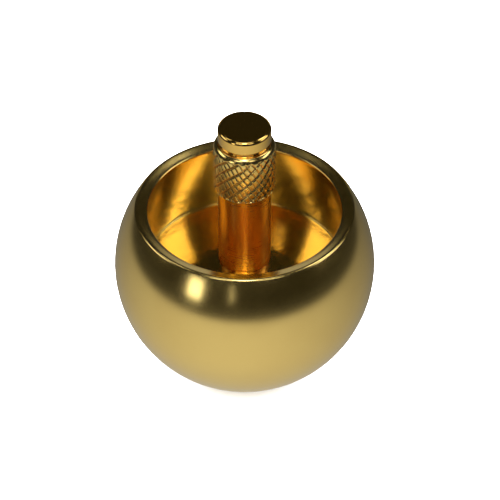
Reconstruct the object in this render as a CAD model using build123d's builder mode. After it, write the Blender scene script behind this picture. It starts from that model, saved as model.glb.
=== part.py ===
"""Flip-over spinning top in turned brass: a hollowed ball, a stem and a knurled grip sleeve.

Millimetres. +Z is the spin axis and the origin is the ball's lowest point, where the top
touches the table when it stands with its stem up.
"""

from build123d import *
import os

# Ball: a full sphere cut off flat above its middle
BALL_RADIUS = 15.0
RIM_HEIGHT = 23.45
RIM_EDGE_RADIUS = 0.35
LIP_DROP = 0.35  # the rim falls this much from its outer edge to the mouth
LIP_EDGE_RADIUS = 0.15

# Hollow: a bore that swells a little below its mouth, with a low domed floor
MOUTH_RADIUS = 11.0
SWELL_RADIUS = 11.6
SWELL_HEIGHT = 19.0
FLOOR_EDGE_RADIUS = 11.5
FLOOR_EDGE_HEIGHT = 14.4
FLOOR_RISE = 1.85  # from the floor's edge to its top on the axis
FLOOR_CORNER_RADIUS = 0.1

# Seat and hole that hold the foot of the stem
SEAT_HEIGHT = 15.9
SEAT_CLEARANCE = 0.05
SEAT_RUNOUT = 1.0  # the seat's cutter starts this far above the seat, clear of the dome
SPIGOT_RADIUS = 2.0
SPIGOT_LENGTH = 5.5
HOLE_EXTRA_DEPTH = 0.5

# Stem: a plain rod that ends in a button behind a narrow groove
ROD_RADIUS = 3.0
NECK_RADIUS = 2.75
BUTTON_RADIUS = 3.04
BUTTON_EDGE_RADIUS = 0.43
BUTTON_BOTTOM_EDGE = 0.1
TOP_HEIGHT = 35.1
BUTTON_HEIGHT = 1.64
GROOVE_WIDTH = 0.51
SPIGOT_CHAMFER = 0.3

# Grip: a sleeve pressed on the rod, just below the groove
GRIP_RADIUS = 3.52
GRIP_LENGTH = 6.25
GRIP_SHOULDER_HEIGHT = 0.8
GRIP_TOP_LAND = 0.06  # width of the flat ring left at the sleeve's top
GRIP_FOOT_CHAMFER = 0.17

groove_top = TOP_HEIGHT - BUTTON_HEIGHT
groove_bottom = groove_top - GROOVE_WIDTH
grip_bottom = groove_bottom - GRIP_LENGTH
rim_radius = (BALL_RADIUS**2 - (RIM_HEIGHT - BALL_RADIUS) ** 2) ** 0.5
lip_height = RIM_HEIGHT - LIP_DROP
floor_top = FLOOR_EDGE_HEIGHT + FLOOR_RISE
dome_radius = (FLOOR_EDGE_RADIUS**2 + FLOOR_RISE**2) / (2 * FLOOR_RISE)
shoulder_width = GRIP_RADIUS - ROD_RADIUS - GRIP_TOP_LAND
shoulder_radius = (shoulder_width**2 + GRIP_SHOULDER_HEIGHT**2) / (2 * shoulder_width)

os.makedirs("parts", exist_ok=True)

# Bowl: the ball's outside, its sloping rim, the bore and the domed floor in one half section
with BuildPart() as bowl:
    with BuildSketch(Plane.XZ) as bowl_section:
        with BuildLine():
            ThreePointArc((0, 0), (BALL_RADIUS, BALL_RADIUS), (rim_radius, RIM_HEIGHT))
            Line((rim_radius, RIM_HEIGHT), (MOUTH_RADIUS, lip_height))
            ThreePointArc(
                (MOUTH_RADIUS, lip_height),
                (SWELL_RADIUS, SWELL_HEIGHT),
                (FLOOR_EDGE_RADIUS, FLOOR_EDGE_HEIGHT),
            )
            RadiusArc((FLOOR_EDGE_RADIUS, FLOOR_EDGE_HEIGHT), (0, floor_top), -dome_radius)
            Line((0, floor_top), (0, 0))
        make_face()
    revolve(axis=Axis.Z)
    whole_circles = bowl.edges().filter_by(lambda edge: edge.is_closed).sort_by(Axis.Z)
    outer_rim = whole_circles[-1]
    lip = whole_circles[-2]
    floor_corner = whole_circles[-3]
    fillet(outer_rim, radius=RIM_EDGE_RADIUS)
    fillet(lip, radius=LIP_EDGE_RADIUS)
    fillet(floor_corner, radius=FLOOR_CORNER_RADIUS)
    with Locations((0, 0, SEAT_HEIGHT + SEAT_RUNOUT)):
        CounterBoreHole(
            radius=SPIGOT_RADIUS,
            counter_bore_radius=ROD_RADIUS + SEAT_CLEARANCE,
            counter_bore_depth=SEAT_RUNOUT,
            depth=SEAT_RUNOUT + SPIGOT_LENGTH + HOLE_EXTRA_DEPTH,
        )

# Stem: spigot, rod, groove and button turned from one bar
with BuildPart() as stem:
    with BuildSketch(Plane.XZ) as stem_section:
        with BuildLine():
            Polyline(
                (0, SEAT_HEIGHT - SPIGOT_LENGTH),
                (SPIGOT_RADIUS, SEAT_HEIGHT - SPIGOT_LENGTH),
                (SPIGOT_RADIUS, SEAT_HEIGHT),
                (ROD_RADIUS, SEAT_HEIGHT),
                (ROD_RADIUS, groove_bottom),
                (NECK_RADIUS, groove_bottom),
                (NECK_RADIUS, groove_top),
                (BUTTON_RADIUS, groove_top),
                (BUTTON_RADIUS, TOP_HEIGHT),
                (0, TOP_HEIGHT),
                (0, SEAT_HEIGHT - SPIGOT_LENGTH),
            )
        make_face()
    revolve(axis=Axis.Z)
    stem_circles = stem.edges().filter_by(GeomType.CIRCLE).sort_by(Axis.Z)
    button_edge = stem_circles[-1]
    button_underside = stem_circles.filter_by(lambda edge: edge.radius == BUTTON_RADIUS)[0]
    spigot_end = stem_circles[0]
    fillet(button_edge, radius=BUTTON_EDGE_RADIUS)
    chamfer(button_underside, length=BUTTON_BOTTOM_EDGE)
    chamfer(spigot_end, length=SPIGOT_CHAMFER)

# Knurled grip: sleeve with a rounded shoulder at the top and a small chamfer at the foot
with BuildPart() as knurled_grip:
    with BuildSketch(Plane.XZ) as grip_section:
        with BuildLine():
            Polyline(
                (ROD_RADIUS + GRIP_TOP_LAND, groove_bottom),
                (ROD_RADIUS, groove_bottom),
                (ROD_RADIUS, grip_bottom),
                (GRIP_RADIUS, grip_bottom),
                (GRIP_RADIUS, groove_bottom - GRIP_SHOULDER_HEIGHT),
            )
            RadiusArc(
                (GRIP_RADIUS, groove_bottom - GRIP_SHOULDER_HEIGHT),
                (ROD_RADIUS + GRIP_TOP_LAND, groove_bottom),
                -shoulder_radius,
            )
        make_face()
    revolve(axis=Axis.Z)
    foot_circles = knurled_grip.edges().group_by(Axis.Z)[0].sort_by(SortBy.RADIUS)
    chamfer(foot_circles[-1], length=GRIP_FOOT_CHAMFER)

bowl.part.label = "bowl"
stem.part.label = "stem"
knurled_grip.part.label = "knurled_grip"

export_step(bowl.part, "parts/bowl.step")
export_step(stem.part, "parts/stem.step")
export_step(knurled_grip.part, "parts/knurled_grip.step")
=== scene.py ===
"""A brass flip-over spinning top on a pale table, in metres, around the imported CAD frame."""

import math

import bpy
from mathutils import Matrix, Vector


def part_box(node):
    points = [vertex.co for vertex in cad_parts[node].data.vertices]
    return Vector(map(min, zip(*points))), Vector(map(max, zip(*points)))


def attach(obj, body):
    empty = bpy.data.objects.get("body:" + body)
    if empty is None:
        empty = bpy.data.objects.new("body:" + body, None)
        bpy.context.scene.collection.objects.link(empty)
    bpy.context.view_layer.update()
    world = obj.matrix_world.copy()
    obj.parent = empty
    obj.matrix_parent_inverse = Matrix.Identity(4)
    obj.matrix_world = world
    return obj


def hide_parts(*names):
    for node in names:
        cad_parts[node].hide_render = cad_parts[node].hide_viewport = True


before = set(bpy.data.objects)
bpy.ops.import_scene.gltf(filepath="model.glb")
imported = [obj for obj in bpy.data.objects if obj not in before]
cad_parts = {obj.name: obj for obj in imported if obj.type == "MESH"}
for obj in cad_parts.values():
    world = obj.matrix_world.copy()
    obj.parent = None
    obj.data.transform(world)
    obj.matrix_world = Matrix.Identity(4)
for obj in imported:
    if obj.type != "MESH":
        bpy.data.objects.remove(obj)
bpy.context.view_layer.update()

MM = 0.001

# ---------------------------------------------------------------- sizes
# Read from the boxes of the CAD nodes, and repeated from the CAD where a box doesn't give them.
bowl_low, bowl_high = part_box("bowl")
stem_low, stem_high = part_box("stem")
grip_low, grip_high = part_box("knurled_grip")

BALL_RADIUS = min(bowl_high.x - bowl_low.x, bowl_high.y - bowl_low.y) / 2
BALL_CENTRE = BALL_RADIUS
RIM_TOP = bowl_high.z
RIM_SLOPE_DROP = 0.35 * MM
RIM_EDGE_ROUND = 0.35 * MM
LIP_ROUND = 0.15 * MM
LIP_RUN_HEIGHT = 0.06 * MM  # how far above the mouth the rim's slope stops for the lip's round
MOUTH_RADIUS = 11.0 * MM
SWELL_RADIUS = 11.6 * MM
SWELL_HEIGHT = 19.0 * MM
FLOOR_EDGE_RADIUS = 11.5 * MM
FLOOR_EDGE_HEIGHT = 14.4 * MM
FLOOR_RISE = 1.85 * MM
FLOOR_CORNER_ROUND = 0.1 * MM
FLOOR_CORNER_GAP = 0.4 * MM  # the dome's own points start this far inside the floor's edge

ROD_RADIUS = 3.0 * MM
SPIGOT_RADIUS = 2.0 * MM
SPIGOT_CHAMFER = 0.3 * MM
SEAT_RADIUS = 3.05 * MM
SEAT_HEIGHT = 15.9 * MM
HOLE_BOTTOM = 9.9 * MM
STEM_FOOT = stem_low.z
STEM_TOP = stem_high.z
NECK_RADIUS = 2.75 * MM
NECK_ROUND = 0.08 * MM
ROD_FOOT_ROUND = 0.1 * MM
ROD_HEAD_ROUND = 0.04 * MM
BUTTON_RADIUS = (stem_high.x - stem_low.x) / 2
BUTTON_ROUND = 0.43 * MM
BUTTON_UNDER_CHAMFER = 0.1 * MM
BUTTON_BOTTOM = STEM_TOP - 1.64 * MM

GRIP_RADIUS = (grip_high.x - grip_low.x) / 2
GRIP_BOTTOM = grip_low.z
GRIP_TOP = grip_high.z
GRIP_LAND_RADIUS = ROD_RADIUS + 0.06 * MM
GRIP_SHOULDER = 0.8 * MM
GRIP_FOOT_CHAMFER = 0.17 * MM


# ---------------------------------------------------------------- turned shapes
SAME_POINT = 1e-7
ON_AXIS = 1e-9
SHARP_ANGLE = math.radians(40)


def arc(centre, radius, start, end, steps):
    """Points (radius from the axis, height) on an arc. Angles in degrees from outwards, up."""
    points = []
    for i in range(steps + 1):
        angle = math.radians(start + (end - start) * i / steps)
        r = centre[0] + radius * math.cos(angle)
        points.append((r, centre[1] + radius * math.sin(angle)))
    return points


def line(start, end, steps):
    """Evenly spaced points from start to end, both ends included."""
    points = []
    for i in range(steps + 1):
        share = i / steps
        r = start[0] + (end[0] - start[0]) * share
        points.append((r, start[1] + (end[1] - start[1]) * share))
    return points


def arc_through(start, middle, end, steps):
    """Points on the arc that passes through three points."""
    a, b, c = Vector(start), Vector(middle), Vector(end)
    chords = (b - a, c - a)
    halves = ((b.length_squared - a.length_squared) / 2, (c.length_squared - a.length_squared) / 2)
    turn = chords[0].x * chords[1].y - chords[0].y * chords[1].x
    centre_r = (halves[0] * chords[1].y - halves[1] * chords[0].y) / turn
    centre_z = (halves[1] * chords[0].x - halves[0] * chords[1].x) / turn
    first = math.degrees(math.atan2(a.y - centre_z, a.x - centre_r))
    last = math.degrees(math.atan2(c.y - centre_z, c.x - centre_r))
    radius = math.hypot(a.x - centre_r, a.y - centre_z)
    return arc((centre_r, centre_z), radius, first, last, steps)


def corner(before, point, after, radius, steps=5):
    """A round of that radius where two straight runs meet at point."""
    p = Vector(point)
    a = (Vector(before) - p).normalized()
    b = (Vector(after) - p).normalized()
    half = a.angle(b) / 2
    reach = radius / math.tan(half)
    centre = p + (a + b).normalized() * (radius / math.sin(half))
    first = p + a * reach - centre
    last = p + b * reach - centre
    turn = first.angle(last)
    points = []
    for i in range(steps + 1):
        share = i / steps
        u = first * math.sin((1 - share) * turn) + last * math.sin(share * turn)
        points.append(tuple(centre + u / math.sin(turn)))
    return points


def rounded(points, rounds, steps):
    """The open outline with points[i] replaced by a round of radius rounds[i], where there is one."""
    out = [points[0]]
    for i in range(1, len(points) - 1):
        if i in rounds:
            out += corner(points[i - 1], points[i], points[i + 1], rounds[i], steps)
        else:
            out.append(points[i])
    out.append(points[-1])
    return out


def turned(name, outline, segments, relief=None):
    """A closed mesh turned about Z from an outline that starts and ends on the axis, or that
    closes on itself. relief(angle, r, z) gives how deep the surface is cut at a point."""
    distinct = [outline[0]]
    for point in outline[1:]:
        if (Vector(point) - Vector(distinct[-1])).length > SAME_POINT:
            distinct.append(point)
    verts, rings, cuts = [], [], []
    for r, z in distinct:
        first = len(verts)
        if r < ON_AXIS:
            verts.append((0, 0, z))
            cuts.append(0.0)
            rings.append([first] * segments)
            continue
        for k in range(segments):
            angle = 2 * math.pi * k / segments
            cut = relief(angle, r, z) if relief else 0.0
            verts.append(((r - cut) * math.cos(angle), (r - cut) * math.sin(angle), z))
            cuts.append(cut)
        rings.append(list(range(first, first + segments)))
    pairs = list(zip(rings, rings[1:]))
    if distinct[0][0] >= ON_AXIS:
        pairs.append((rings[-1], rings[0]))
    faces = []
    for lower, upper in pairs:
        for k in range(segments):
            n = (k + 1) % segments
            corners = [lower[k], lower[n], upper[n], upper[k]]
            unique = list(dict.fromkeys(corners))
            if len(unique) > 2:
                faces.append(unique)
    mesh = bpy.data.meshes.new(name)
    mesh.from_pydata(verts, [], faces)
    mesh.validate()
    mesh.polygons.foreach_set("use_smooth", [True] * len(mesh.polygons))
    attribute = mesh.attributes.new("cut_depth", "FLOAT", "POINT")
    attribute.data.foreach_set("value", cuts)
    mesh.set_sharp_from_angle(angle=SHARP_ANGLE)
    piece = bpy.data.objects.new(name, mesh)
    bpy.context.scene.collection.objects.link(piece)
    return piece


def bowl_outline():
    """Half section of the ball: outside, sloping rim, swelling bore, domed floor, seat, hole."""
    rim_z = RIM_TOP - RIM_EDGE_ROUND
    edge_r = math.sqrt((BALL_RADIUS - RIM_EDGE_ROUND) ** 2 - (rim_z - BALL_CENTRE) ** 2)
    meet = math.degrees(math.atan2(rim_z - BALL_CENTRE, edge_r))
    slope = math.degrees(math.atan2(RIM_SLOPE_DROP, edge_r - MOUTH_RADIUS))
    mouth = (MOUTH_RADIUS, RIM_TOP - RIM_SLOPE_DROP)
    floor_edge = (FLOOR_EDGE_RADIUS, FLOOR_EDGE_HEIGHT)
    wall = arc_through(mouth, (SWELL_RADIUS, SWELL_HEIGHT), floor_edge, 40)
    dome_radius = (FLOOR_EDGE_RADIUS**2 + FLOOR_RISE**2) / (2 * FLOOR_RISE)
    dome_centre = FLOOR_EDGE_HEIGHT + FLOOR_RISE - dome_radius
    dome_start = math.degrees(math.acos((FLOOR_EDGE_RADIUS - FLOOR_CORNER_GAP) / dome_radius))
    dome_end = math.degrees(math.acos(SEAT_RADIUS / dome_radius))
    dome = arc((0, dome_centre), dome_radius, dome_start, dome_end, 50)

    outline = arc((0, BALL_CENTRE), BALL_RADIUS, -90, meet, 150)
    outline += arc((edge_r, rim_z), RIM_EDGE_ROUND, meet, 90 + slope, 14)[1:]
    slope_end = (mouth[0] + 2 * LIP_ROUND, mouth[1] + LIP_RUN_HEIGHT)
    outline += line(outline[-1], slope_end, 4)[1:]
    outline += corner(outline[-1], mouth, wall[2], LIP_ROUND)
    outline += wall[2:-2]
    outline += corner(wall[-3], floor_edge, dome[0], FLOOR_CORNER_ROUND)
    outline += dome
    outline += [
        (SEAT_RADIUS, SEAT_HEIGHT),
        (SPIGOT_RADIUS, SEAT_HEIGHT),
        (SPIGOT_RADIUS, HOLE_BOTTOM),
        (0, HOLE_BOTTOM),
    ]
    return outline


def stem_outline():
    """Half section of the stem: spigot, rod, groove and button."""
    points = [
        (0, STEM_FOOT),
        (SPIGOT_RADIUS - SPIGOT_CHAMFER, STEM_FOOT),
        (SPIGOT_RADIUS, STEM_FOOT + SPIGOT_CHAMFER),
        (SPIGOT_RADIUS, SEAT_HEIGHT),
        (ROD_RADIUS, SEAT_HEIGHT),
        (ROD_RADIUS, GRIP_TOP),
        (NECK_RADIUS, GRIP_TOP),
        (NECK_RADIUS, BUTTON_BOTTOM),
        (BUTTON_RADIUS, BUTTON_BOTTOM),
        (BUTTON_RADIUS, STEM_TOP),
        (0, STEM_TOP),
    ]
    rounds = {
        4: ROD_FOOT_ROUND,
        5: ROD_HEAD_ROUND,
        6: NECK_ROUND,
        7: NECK_ROUND,
        8: BUTTON_UNDER_CHAMFER,
        9: BUTTON_ROUND,
    }
    return rounded(points, rounds, 12)


def grip_outline():
    """Closed half section of the sleeve: bore, foot, knurled band and rounded shoulder."""
    width = GRIP_RADIUS - GRIP_LAND_RADIUS
    shoulder_radius = (width**2 + GRIP_SHOULDER**2) / (2 * width)
    shoulder_start = GRIP_TOP - GRIP_SHOULDER
    shoulder_turn = math.degrees(math.asin(GRIP_SHOULDER / shoulder_radius))
    foot_top = GRIP_BOTTOM + GRIP_FOOT_CHAMFER
    outline = [(ROD_RADIUS, GRIP_TOP), (ROD_RADIUS, GRIP_BOTTOM)]
    outline += line(outline[-1], (GRIP_RADIUS - GRIP_FOOT_CHAMFER, GRIP_BOTTOM), 3)[1:]
    outline += line(outline[-1], (GRIP_RADIUS, foot_top), 3)[1:]
    outline += line(outline[-1], (GRIP_RADIUS, shoulder_start), 120)[1:]
    shoulder_centre = (GRIP_RADIUS - shoulder_radius, shoulder_start)
    outline += arc(shoulder_centre, shoulder_radius, 0, shoulder_turn, 12)[1:]
    return outline


KNURL_DEPTH = 0.2 * MM
KNURL_RISING = 16  # deep helical cuts that rise to the right
KNURL_FALLING = 30  # finer, steeper cuts that fall to the right
RISING_LEAD = 22.1 * MM
FALLING_LEAD = 40.0 * MM
CUT_HALF_WIDTH = 0.17  # of one cut, as a share of the pitch
FALLING_DEPTH = 0.6  # depth of the falling cuts, as a share of the rising ones'
KNURL_FOOT = GRIP_BOTTOM + 0.22 * MM
KNURL_HEAD = GRIP_TOP - 0.3 * MM
FOOT_RUN_OUT = 0.1 * MM
HEAD_RUN_OUT = 0.4 * MM
KNURL_INNER_RADIUS = ROD_RADIUS + 0.2 * MM  # nothing nearer the axis is cut


def groove(phase):
    """How deep a V groove is, from 0 to 1, where phase counts grooves and whole numbers are
    their middles. Between two grooves the surface isn't cut."""
    distance = abs((phase + 0.5) % 1.0 - 0.5)
    return max(0.0, 1.0 - distance / CUT_HALF_WIDTH)


def knurl(angle, r, z):
    """Depth of the crossed knurl. It runs out at the foot and over the rounded shoulder."""
    if r < KNURL_INNER_RADIUS:
        return 0.0
    share = min((z - KNURL_FOOT) / FOOT_RUN_OUT, (KNURL_HEAD - z) / HEAD_RUN_OUT, 1.0)
    if share <= 0:
        return 0.0
    turn = angle / (2 * math.pi)
    wander = 0.06 * math.sin(3 * angle + 900 * z) + 0.05 * math.sin(7 * angle - 1500 * z)
    rising = groove(KNURL_RISING * (turn - z / RISING_LEAD) + wander)
    falling = groove(KNURL_FALLING * (turn + z / FALLING_LEAD) - wander)
    cut = KNURL_DEPTH * share * max(rising, FALLING_DEPTH * falling)
    return max(0.0, cut - (GRIP_RADIUS - r))


# ---------------------------------------------------------------- brass
BRASS = (0.88, 0.65, 0.22)
WARM_BRASS = (0.91, 0.59, 0.15)  # the hollow's floor and the button, a little more orange
ROD_BRASS_BOUNCE_TINT = (0.9, 0.5, 0.07)  # the rod, redder still: brass plus painted reflection of the light bouncing inside the hollow
CREST_BRASS = (0.92, 0.67, 0.22)
# painted shade: the colour that the knurl's grooves darken towards
GROOVE_SHADE_COLOUR = (0.5, 0.26, 0.07)
STAIN_TINT = (0.86, 0.78, 0.7)  # what a full stain multiplies the brass colour by
STAIN_MOST = 0.18

# Noise scales, per metre
MARK_DRIFT = 60.0  # along the turning marks, which hardly change
CLOUD_SCALE = 160.0
DENT_SCALE = 420.0
SPECK_SCALE = 2600.0


class Nodes:
    """A short way to add and join a material's nodes."""

    def __init__(self, material):
        material.use_nodes = True
        self.tree = material.node_tree
        self.shader = self.tree.nodes["Principled BSDF"]

    def add(self, kind, **values):
        node = self.tree.nodes.new(kind)
        for key, value in values.items():
            setattr(node, key, value)
        return node

    def join(self, source, target):
        self.tree.links.new(source, target)

    def math(self, operation, a, b):
        node = self.add("ShaderNodeMath", operation=operation)
        for socket, value in ((node.inputs[0], a), (node.inputs[1], b)):
            if hasattr(value, "links"):
                self.join(value, socket)
            else:
                socket.default_value = value
        return node.outputs[0]

    def ramp(self, value, low, high, out_low, out_high):
        node = self.add("ShaderNodeMapRange")
        node.clamp = True
        self.join(value, node.inputs["Value"])
        node.inputs["From Min"].default_value = low
        node.inputs["From Max"].default_value = high
        node.inputs["To Min"].default_value = out_low
        node.inputs["To Max"].default_value = out_high
        return node.outputs["Result"]


def lathe_space(nodes, fineness, drift):
    """Coordinates that change fast across the turning marks and slowly along them."""
    place = nodes.add("ShaderNodeTexCoord").outputs["Object"]
    parts = nodes.add("ShaderNodeSeparateXYZ")
    nodes.join(place, parts.inputs[0])
    x, y, z = parts.outputs
    flat = nodes.math("ADD", nodes.math("MULTIPLY", x, x), nodes.math("MULTIPLY", y, y))
    radius = nodes.math("SQRT", flat, 0.0)
    joined = nodes.add("ShaderNodeCombineXYZ")
    nodes.join(nodes.math("MULTIPLY", radius, fineness), joined.inputs[0])
    nodes.join(nodes.math("MULTIPLY", z, fineness), joined.inputs[1])
    nodes.join(nodes.math("MULTIPLY", x, drift), joined.inputs[2])
    return joined.outputs[0], nodes.math("MULTIPLY", y, drift), place


def noise(nodes, vector, scale, detail, rough, w=None):
    """Smooth noise over vector, or over vector and a fourth coordinate w."""
    node = nodes.add("ShaderNodeTexNoise", noise_dimensions="4D" if w is not None else "3D")
    nodes.join(vector, node.inputs["Vector"])
    if w is not None:
        nodes.join(w, node.inputs["W"])
    node.inputs["Scale"].default_value = scale
    node.inputs["Detail"].default_value = detail
    node.inputs["Roughness"].default_value = rough
    return node.outputs["Fac"]


def brass(name, colour, rough, rough_spread, marks, mark_depth, stretch, fineness=9000.0, dents=0.0):
    """Turned brass: circular tool marks, cloudy polish, faint darker staining. marks is how much
    the tool marks vary the roughness, stretch how far the shine is drawn out, and fineness the tool
    marks' noise scale. mark_depth and dents are in metres: how deep the fine marks and the wider
    unevenness are."""
    material = bpy.data.materials.new(name)
    nodes = Nodes(material)
    shader = nodes.shader
    shader.inputs["Metallic"].default_value = 1.0
    shader.inputs["Anisotropic"].default_value = stretch
    shader.inputs["Anisotropic Rotation"].default_value = 0.25
    tangent = nodes.add("ShaderNodeTangent", direction_type="RADIAL", axis="Z")
    nodes.join(tangent.outputs[0], shader.inputs["Tangent"])

    vector, w, place = lathe_space(nodes, fineness, MARK_DRIFT)
    lines = noise(nodes, vector, 1.0, 3.0, 0.6, w)
    clouds = noise(nodes, place, CLOUD_SCALE, 3.0, 0.55)
    specks = noise(nodes, place, SPECK_SCALE, 2.0, 0.5)

    polish = nodes.math("ADD", nodes.math("MULTIPLY", lines, marks), clouds)
    roughness = nodes.ramp(polish, 0.35, 0.65 + marks, rough - rough_spread, rough + rough_spread)
    nodes.join(roughness, shader.inputs["Roughness"])

    stain = nodes.ramp(clouds, 0.45, 0.75, 0.0, STAIN_MOST)
    stained = [channel * tint for channel, tint in zip(colour, STAIN_TINT)]
    mixed = nodes.add("ShaderNodeMix", data_type="RGBA")
    mixed.inputs["A"].default_value = (*colour, 1)
    mixed.inputs["B"].default_value = (*stained, 1)
    nodes.join(stain, mixed.inputs["Factor"])
    nodes.join(mixed.outputs["Result"], shader.inputs["Base Color"])

    height = nodes.math("ADD", lines, nodes.math("MULTIPLY", specks, 0.15))
    if dents:
        uneven = noise(nodes, place, DENT_SCALE, 2.0, 0.5)
        height = nodes.math("ADD", height, nodes.math("MULTIPLY", uneven, dents / mark_depth))
    bump = nodes.add("ShaderNodeBump")
    bump.inputs["Strength"].default_value = 1.0
    bump.inputs["Distance"].default_value = mark_depth
    nodes.join(height, bump.inputs["Height"])
    nodes.join(bump.outputs[0], shader.inputs["Normal"])
    return material


def knurled_brass(name, colour, rough):
    """Brass with rubbed crests, and painted shade in the grooves: the base colour goes darker and
    duller the deeper the cut is.
    """
    material = brass(name, colour, rough, 0.04, 0.3, 0.3e-6, 0.0)
    nodes = Nodes(material)
    cut = nodes.add("ShaderNodeAttribute", attribute_name="cut_depth").outputs["Fac"]
    # painted shade in the knurl's grooves, darker where the cut is deeper
    groove_shade = nodes.ramp(cut, 0.3 * KNURL_DEPTH, KNURL_DEPTH, 0.0, 0.8)
    before = nodes.shader.inputs["Base Color"].links[0].from_socket
    mixed = nodes.add("ShaderNodeMix", data_type="RGBA")
    nodes.join(before, mixed.inputs["A"])
    mixed.inputs["B"].default_value = (*GROOVE_SHADE_COLOUR, 1)
    nodes.join(groove_shade, mixed.inputs["Factor"])
    nodes.join(mixed.outputs["Result"], nodes.shader.inputs["Base Color"])
    return material


satin = brass("satin_brass", BRASS, 0.2, 0.03, 0.5, 0.25e-6, 0.3)
hollow = brass("hollow_brass", WARM_BRASS, 0.17, 0.05, 0.8, 0.8e-6, 0.3, fineness=5000.0, dents=9e-5)
polished = brass("polished_brass", WARM_BRASS, 0.12, 0.03, 0.3, 0.2e-6, 0.2)
# the rod's redder base colour is painted reflection of light bouncing in the hollow, on top of the
# brass
rod = brass("turned_rod_brass", ROD_BRASS_BOUNCE_TINT, 0.28, 0.03, 0.6, 0.2e-6, 0.9)
knurled = knurled_brass("knurled_brass", CREST_BRASS, 0.18)

# ---------------------------------------------------------------- the three pieces
BOWL_SEGMENTS = 384
STEM_SEGMENTS = 192
KNURL_SEGMENTS = 768
SKIN = 0.5 * MM  # a face deeper than this under the ball's surface is in the hollow
# hollow_brass ends at this radius: it covers the floor and the lip, and the wider wall is satin.
HOLLOW_BRASS_RADIUS = MOUTH_RADIUS + 0.1 * MM
ROD_FINISH_TOP = GRIP_BOTTOM + 1.0 * MM  # hidden in the sleeve, where the rod's finish ends

bowl = turned("bowl_turned", bowl_outline(), BOWL_SEGMENTS)
bowl.data.materials.append(satin)
bowl.data.materials.append(hollow)
for face in bowl.data.polygons:
    out = math.hypot(face.center.x, face.center.y)
    inside = math.hypot(out, face.center.z - BALL_CENTRE) < BALL_RADIUS - SKIN
    face.material_index = 1 if inside and out < HOLLOW_BRASS_RADIUS else 0
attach(bowl, "root")
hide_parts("bowl")

stem = turned("stem_turned", stem_outline(), STEM_SEGMENTS)
stem.data.materials.append(polished)
stem.data.materials.append(rod)
for face in stem.data.polygons:
    face.material_index = 1 if face.center.z < ROD_FINISH_TOP else 0
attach(stem, "root")
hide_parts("stem")

grip = turned("grip_knurled", grip_outline(), KNURL_SEGMENTS, knurl)
grip.data.materials.append(knurled)
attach(grip, "root")
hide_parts("knurled_grip")

# ---------------------------------------------------------------- table, room and lights
scene = bpy.context.scene
CENTRE = Vector((0, 0, BALL_CENTRE))
FLOOR_SIZE = 6.0
FLOOR_HEIGHT = -0.02 * MM
SHEET_HEIGHT = -0.04 * MM
RING_SEGMENTS = 96
LIGHT_DISTANCE = 0.6
FILL_DISTANCE = 1.2

# How bright the sheet glows as a painted reflection of the table, and where that fades, in metres
# from the axis
TABLE_GLOW = 0.37
GLOW_TO_BACK = 0.31  # how much dimmer it is behind the top, and brighter before it
GLOW_TO_RIGHT = 0.05
GLOW_CORE = 0.02
GLOW_END = 0.12
GLOW_FADE = 0.035
FAR_GLOW = 0.03


def plain(name, colour, strength=None):
    """A matte material, or a glowing one where strength is given."""
    material = bpy.data.materials.new(name)
    nodes = Nodes(material)
    nodes.shader.inputs["Base Color"].default_value = (*colour, 1)
    nodes.shader.inputs["Roughness"].default_value = 0.9
    nodes.shader.inputs["Specular IOR Level"].default_value = 0.0
    if strength is not None:
        nodes.shader.inputs["Base Color"].default_value = (0, 0, 0, 1)
        nodes.shader.inputs["Emission Color"].default_value = (*colour, 1)
        nodes.shader.inputs["Emission Strength"].default_value = strength
    return material


def flat_ring(name, radii, height, material, glow=None):
    """A level disc with a pinhole, made of rings. glow(x, y) sets how bright it is at a point."""
    verts, faces = [], []
    for k in range(RING_SEGMENTS):
        angle = 2 * math.pi * k / RING_SEGMENTS
        for r in radii:
            verts.append((r * math.cos(angle), r * math.sin(angle), height))
    count = len(radii)
    for k in range(RING_SEGMENTS):
        n = (k + 1) % RING_SEGMENTS
        for j in range(count - 1):
            faces.append((count * k + j, count * k + j + 1, count * n + j + 1, count * n + j))
    mesh = bpy.data.meshes.new(name)
    mesh.from_pydata(verts, [], faces)
    mesh.materials.append(material)
    if glow:
        attribute = mesh.attributes.new("glow", "FLOAT", "POINT")
        attribute.data.foreach_set("value", [glow(x, y) for x, y, z in verts])
    ring = bpy.data.objects.new(name, mesh)
    scene.collection.objects.link(ring)
    return ring


def table_glow(x, y):
    """How brightly the sheet glows at a point, a painted reflection of the table: bright before the
    top, dim behind it, dark far off.
    """
    r = max(math.hypot(x, y), 0.001)
    near = TABLE_GLOW - (GLOW_TO_BACK * y + GLOW_TO_RIGHT * x) / r * min(r / GLOW_CORE, 1.0)
    fade = min(max((GLOW_END - r) / GLOW_FADE, 0.0), 1.0)
    return FAR_GLOW + near * fade


floor_look = plain("floor_white", (0.9, 0.9, 0.9))
floor = flat_ring("floor", [0.1 * MM, FLOOR_SIZE], FLOOR_HEIGHT, floor_look)
floor.visible_glossy = False

# The sheet glows as a painted reflection of the table: the brass mirrors it, and it doesn't show to
# the camera.
sheet_look = plain("sheet_painted_reflection", (1.0, 0.98, 0.92), 1.0)
sheet_nodes = Nodes(sheet_look)
sheet_glow = sheet_nodes.add("ShaderNodeAttribute", attribute_name="glow").outputs["Fac"]
sheet_nodes.join(sheet_glow, sheet_nodes.shader.inputs["Emission Strength"])
sheet_radii = [(2 + 4 * i) * MM for i in range(38)]
sheet = flat_ring("sheet", sheet_radii + [FLOOR_SIZE], SHEET_HEIGHT, sheet_look, table_glow)
sheet.visible_camera = False
sheet.visible_diffuse = False
sheet.visible_shadow = False

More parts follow.
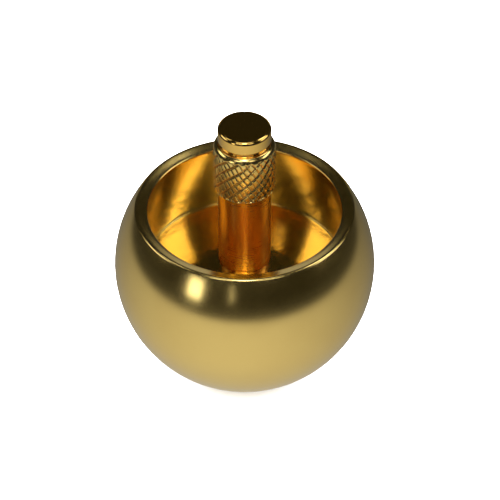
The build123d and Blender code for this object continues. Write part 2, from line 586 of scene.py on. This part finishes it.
world = bpy.data.worlds.new("room")
scene.world = world
world.use_nodes = True
world_nodes = world.node_tree
background = world_nodes.nodes["Background"]
background.inputs["Color"].default_value = (0.02, 0.018, 0.011, 1)
pale = world_nodes.nodes.new("ShaderNodeBackground")
pale.inputs["Color"].default_value = (0.93, 0.93, 0.93, 1)
path = world_nodes.nodes.new("ShaderNodeLightPath")
choose = world_nodes.nodes.new("ShaderNodeMixShader")
world_nodes.links.new(path.outputs["Is Camera Ray"], choose.inputs[0])
world_nodes.links.new(background.outputs[0], choose.inputs[1])
world_nodes.links.new(pale.outputs[0], choose.inputs[2])
world_nodes.links.new(choose.outputs[0], world_nodes.nodes["World Output"].inputs[0])


def soft_light(
    name, azimuth, elevation, width, height, brightness, distance=LIGHT_DISTANCE, seen=True
):
    """A soft box that faces the ball, with its width and height in degrees as the ball sees it.
    Azimuth 0 is the camera's side, and grows to the right. The brass mirrors it where seen."""
    a, e = math.radians(azimuth), math.radians(elevation)
    towards = Vector((math.sin(a) * math.cos(e), -math.cos(a) * math.cos(e), math.sin(e)))
    lamp = bpy.data.lights.new(name, "AREA")
    lamp.shape = "RECTANGLE"
    lamp.size = 2 * distance * math.tan(math.radians(width / 2))
    lamp.size_y = 2 * distance * math.tan(math.radians(height / 2))
    lamp.energy = brightness * math.pi * lamp.size * lamp.size_y
    holder = bpy.data.objects.new(name, lamp)
    holder.location = CENTRE + towards * distance
    holder.rotation_mode = "QUATERNION"
    holder.rotation_quaternion = towards.to_track_quat("Z", "Y")
    holder.visible_glossy = seen
    scene.collection.objects.link(holder)


soft_light("table_fill", 0, 88, 110, 110, 9, distance=FILL_DISTANCE, seen=False)
soft_light("window", -43, 10, 12, 16, 2.8)
soft_light("slit", -11, 13, 3, 14, 0.9)
soft_light("right_box", 90, 29, 34, 16, 2.3)
soft_light("left_box", -95, 29, 30, 16, 2.1)
soft_light("top_box", 0, 58, 13, 22, 6.5)
soft_light("top_right", 27, 43, 18, 13, 1.8)
soft_light("top_left", -25, 43, 18, 13, 2.3)
soft_light("far_right", 120, 57, 18, 16, 3.2)
soft_light("far_left", -120, 60, 12, 12, 1.8)
soft_light("back_low", 180, 10, 60, 16, 0.4)
soft_light("zenith", 0, 82, 34, 22, 1.0)

# ---------------------------------------------------------------- camera
ELEVATION = math.radians(41.65)
DISTANCE = 22 * BALL_RADIUS
LENS = 205.6
AIM_RIGHT = 0.62 * MM
AIM_UP = 1.4 * MM

back = Vector((0, -math.cos(ELEVATION), math.sin(ELEVATION)))
up = Vector((0, math.sin(ELEVATION), math.cos(ELEVATION)))
aim = CENTRE + Vector((AIM_RIGHT, 0, 0)) + up * AIM_UP
position = CENTRE + back * DISTANCE
camera_data = bpy.data.cameras.new("camera")
camera_data.lens = LENS
camera_data.sensor_width = 36.0
camera_data.clip_start = 0.01
camera_data.clip_end = 50.0
camera = bpy.data.objects.new("camera", camera_data)
camera.location = position
camera.rotation_mode = "QUATERNION"
camera.rotation_quaternion = (aim - position).to_track_quat("-Z", "Y")
scene.collection.objects.link(camera)
scene.camera = camera

scene.view_settings.view_transform = "Standard"
scene.cycles.max_bounces = 20
scene.cycles.glossy_bounces = 16
